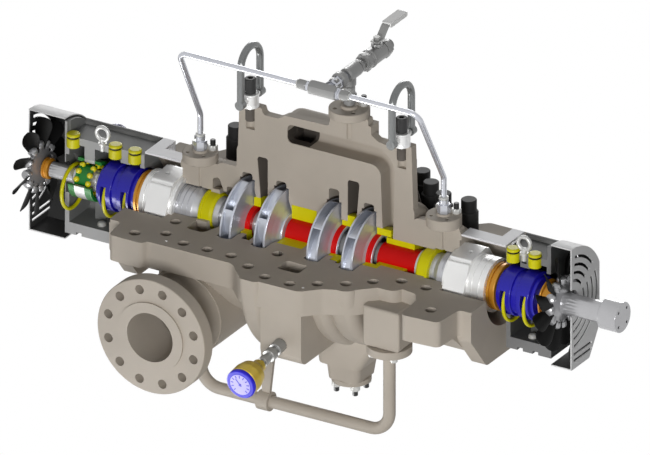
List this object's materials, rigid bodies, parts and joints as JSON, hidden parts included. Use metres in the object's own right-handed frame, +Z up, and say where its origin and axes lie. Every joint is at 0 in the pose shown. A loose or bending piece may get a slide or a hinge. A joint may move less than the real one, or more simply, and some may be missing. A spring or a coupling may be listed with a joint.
{
  "type": "split case pump",
  "caption": "Cutaway axially split, between-bearings multistage pump: casing halves, rotor with shrouded impellers, seals, bearings, fans, vent and flush piping.",
  "frame": {"origin": "centre of the four foot bolt holes, in the plane of the foot faces under the casing's corner lugs, 85 mm below the shaft axis", "axes": "+X along the shaft to the drive end, +Z up, -Y to the side of the suction nozzle"},
  "size_m": [1.973, 1.0317, 1.1044],
  "materials": {
    "casing": "painted taupe grey",
    "nozzle": "painted taupe grey",
    "bush_yellow": "gloss yellow colour code",
    "silver": "satin",
    "housing": "grey",
    "bearing_blue": "gloss blue colour code",
    "race_green": "gloss green colour code",
    "bronze": "bronze",
    "ball": "gloss yellow colour code",
    "cover": "light grey sheet",
    "impeller": "bright blue-silver",
    "shaft": "turned",
    "sleeve_red": "gloss red colour code",
    "fan": "silver hub with black blades",
    "tube": "bright tube",
    "valve": "satin",
    "hoist": "plated",
    "black": "black",
    "dial": "blue dial",
    "nut": "charcoal",
    "glass": "clear",
    "plate": "light sheet"
  },
  "bodies": {
    "casing": {"balance_bush": "bush_yellow", "balance_line": "casing", "bearing_isolators": "bronze", "breather_caps": "bush_yellow", "cap_nuts": "nut", "centre_bush": "bush_yellow", "discharge_nozzle": "nozzle", "drain_flange": "casing", "eye_bolts": "hoist", "fan_cover_de": "cover", "fan_cover_nde": "cover", "flush_tube": "tube", "gland_de": "silver", "gland_nde": "silver", "guard_plates": "plate", "hoist_bolt_de": "black", "hoist_bolt_nde": "black", "housing_de": "housing", "housing_nde": "housing", "journal_bearing_de": "bearing_blue", "journal_bearing_nde": "bearing_blue", "line_bracket": "casing", "lower_casing": "casing", "oil_rings": "bush_yellow", "oiler": "glass", "port_flanges": "casing", "stage_bushes": "bush_yellow", "suction_nozzle": "nozzle", "thermometer_dial": "dial", "thermometer_stem": "bronze", "throat_rings": "bush_yellow", "thrust_balls": "ball", "thrust_bearing": "race_green", "upper_casing": "casing", "vent_valve": "valve"},
    "rotor": {"shaft": "shaft", "impeller_1": "impeller", "impeller_2": "impeller", "impeller_3": "impeller", "impeller_4": "impeller", "rotor_sleeves": "sleeve_red", "seal_sleeves": "silver", "fan_nde": "fan", "fan_de": "fan"},
    "valve_lever": {"valve_lever": "valve"},
    "hoist_swivel_nde": {"hoist_swivel_nde": "silver"},
    "hoist_bail_nde": {"hoist_bail_nde": "hoist"},
    "hoist_swivel_de": {"hoist_swivel_de": "silver"},
    "hoist_bail_de": {"hoist_bail_de": "hoist"}
  },
  "joints": [
    {"name": "rotor_spin", "type": "hinge", "parent": "casing", "child": "rotor", "pos_m": [0, 0, 0.085], "axis": [1, 0, 0], "continuous": true},
    {"name": "valve_lever_turn", "type": "hinge", "parent": "casing", "child": "valve_lever", "pos_m": [0.08, 0.155, 0.673], "axis": [0, 0, 1], "range_deg": [0, 90]},
    {"name": "hoist_swivel_turn_nde", "type": "hinge", "parent": "casing", "child": "hoist_swivel_nde", "pos_m": [-0.249, 0, 0.4514], "axis": [0, 0, 1], "continuous": true},
    {"name": "hoist_bail_swing_nde", "type": "hinge", "parent": "hoist_swivel_nde", "child": "hoist_bail_nde", "pos_m": [-0.249, 0, 0.4754], "axis": [0, 1, 0], "range_deg": [-60, 60]},
    {"name": "hoist_swivel_turn_de", "type": "hinge", "parent": "casing", "child": "hoist_swivel_de", "pos_m": [0.254, 0, 0.4514], "axis": [0, 0, 1], "continuous": true},
    {"name": "hoist_bail_swing_de", "type": "hinge", "parent": "hoist_swivel_de", "child": "hoist_bail_de", "pos_m": [0.254, 0, 0.4754], "axis": [0, 1, 0], "range_deg": [-60, 60]}
  ]
}
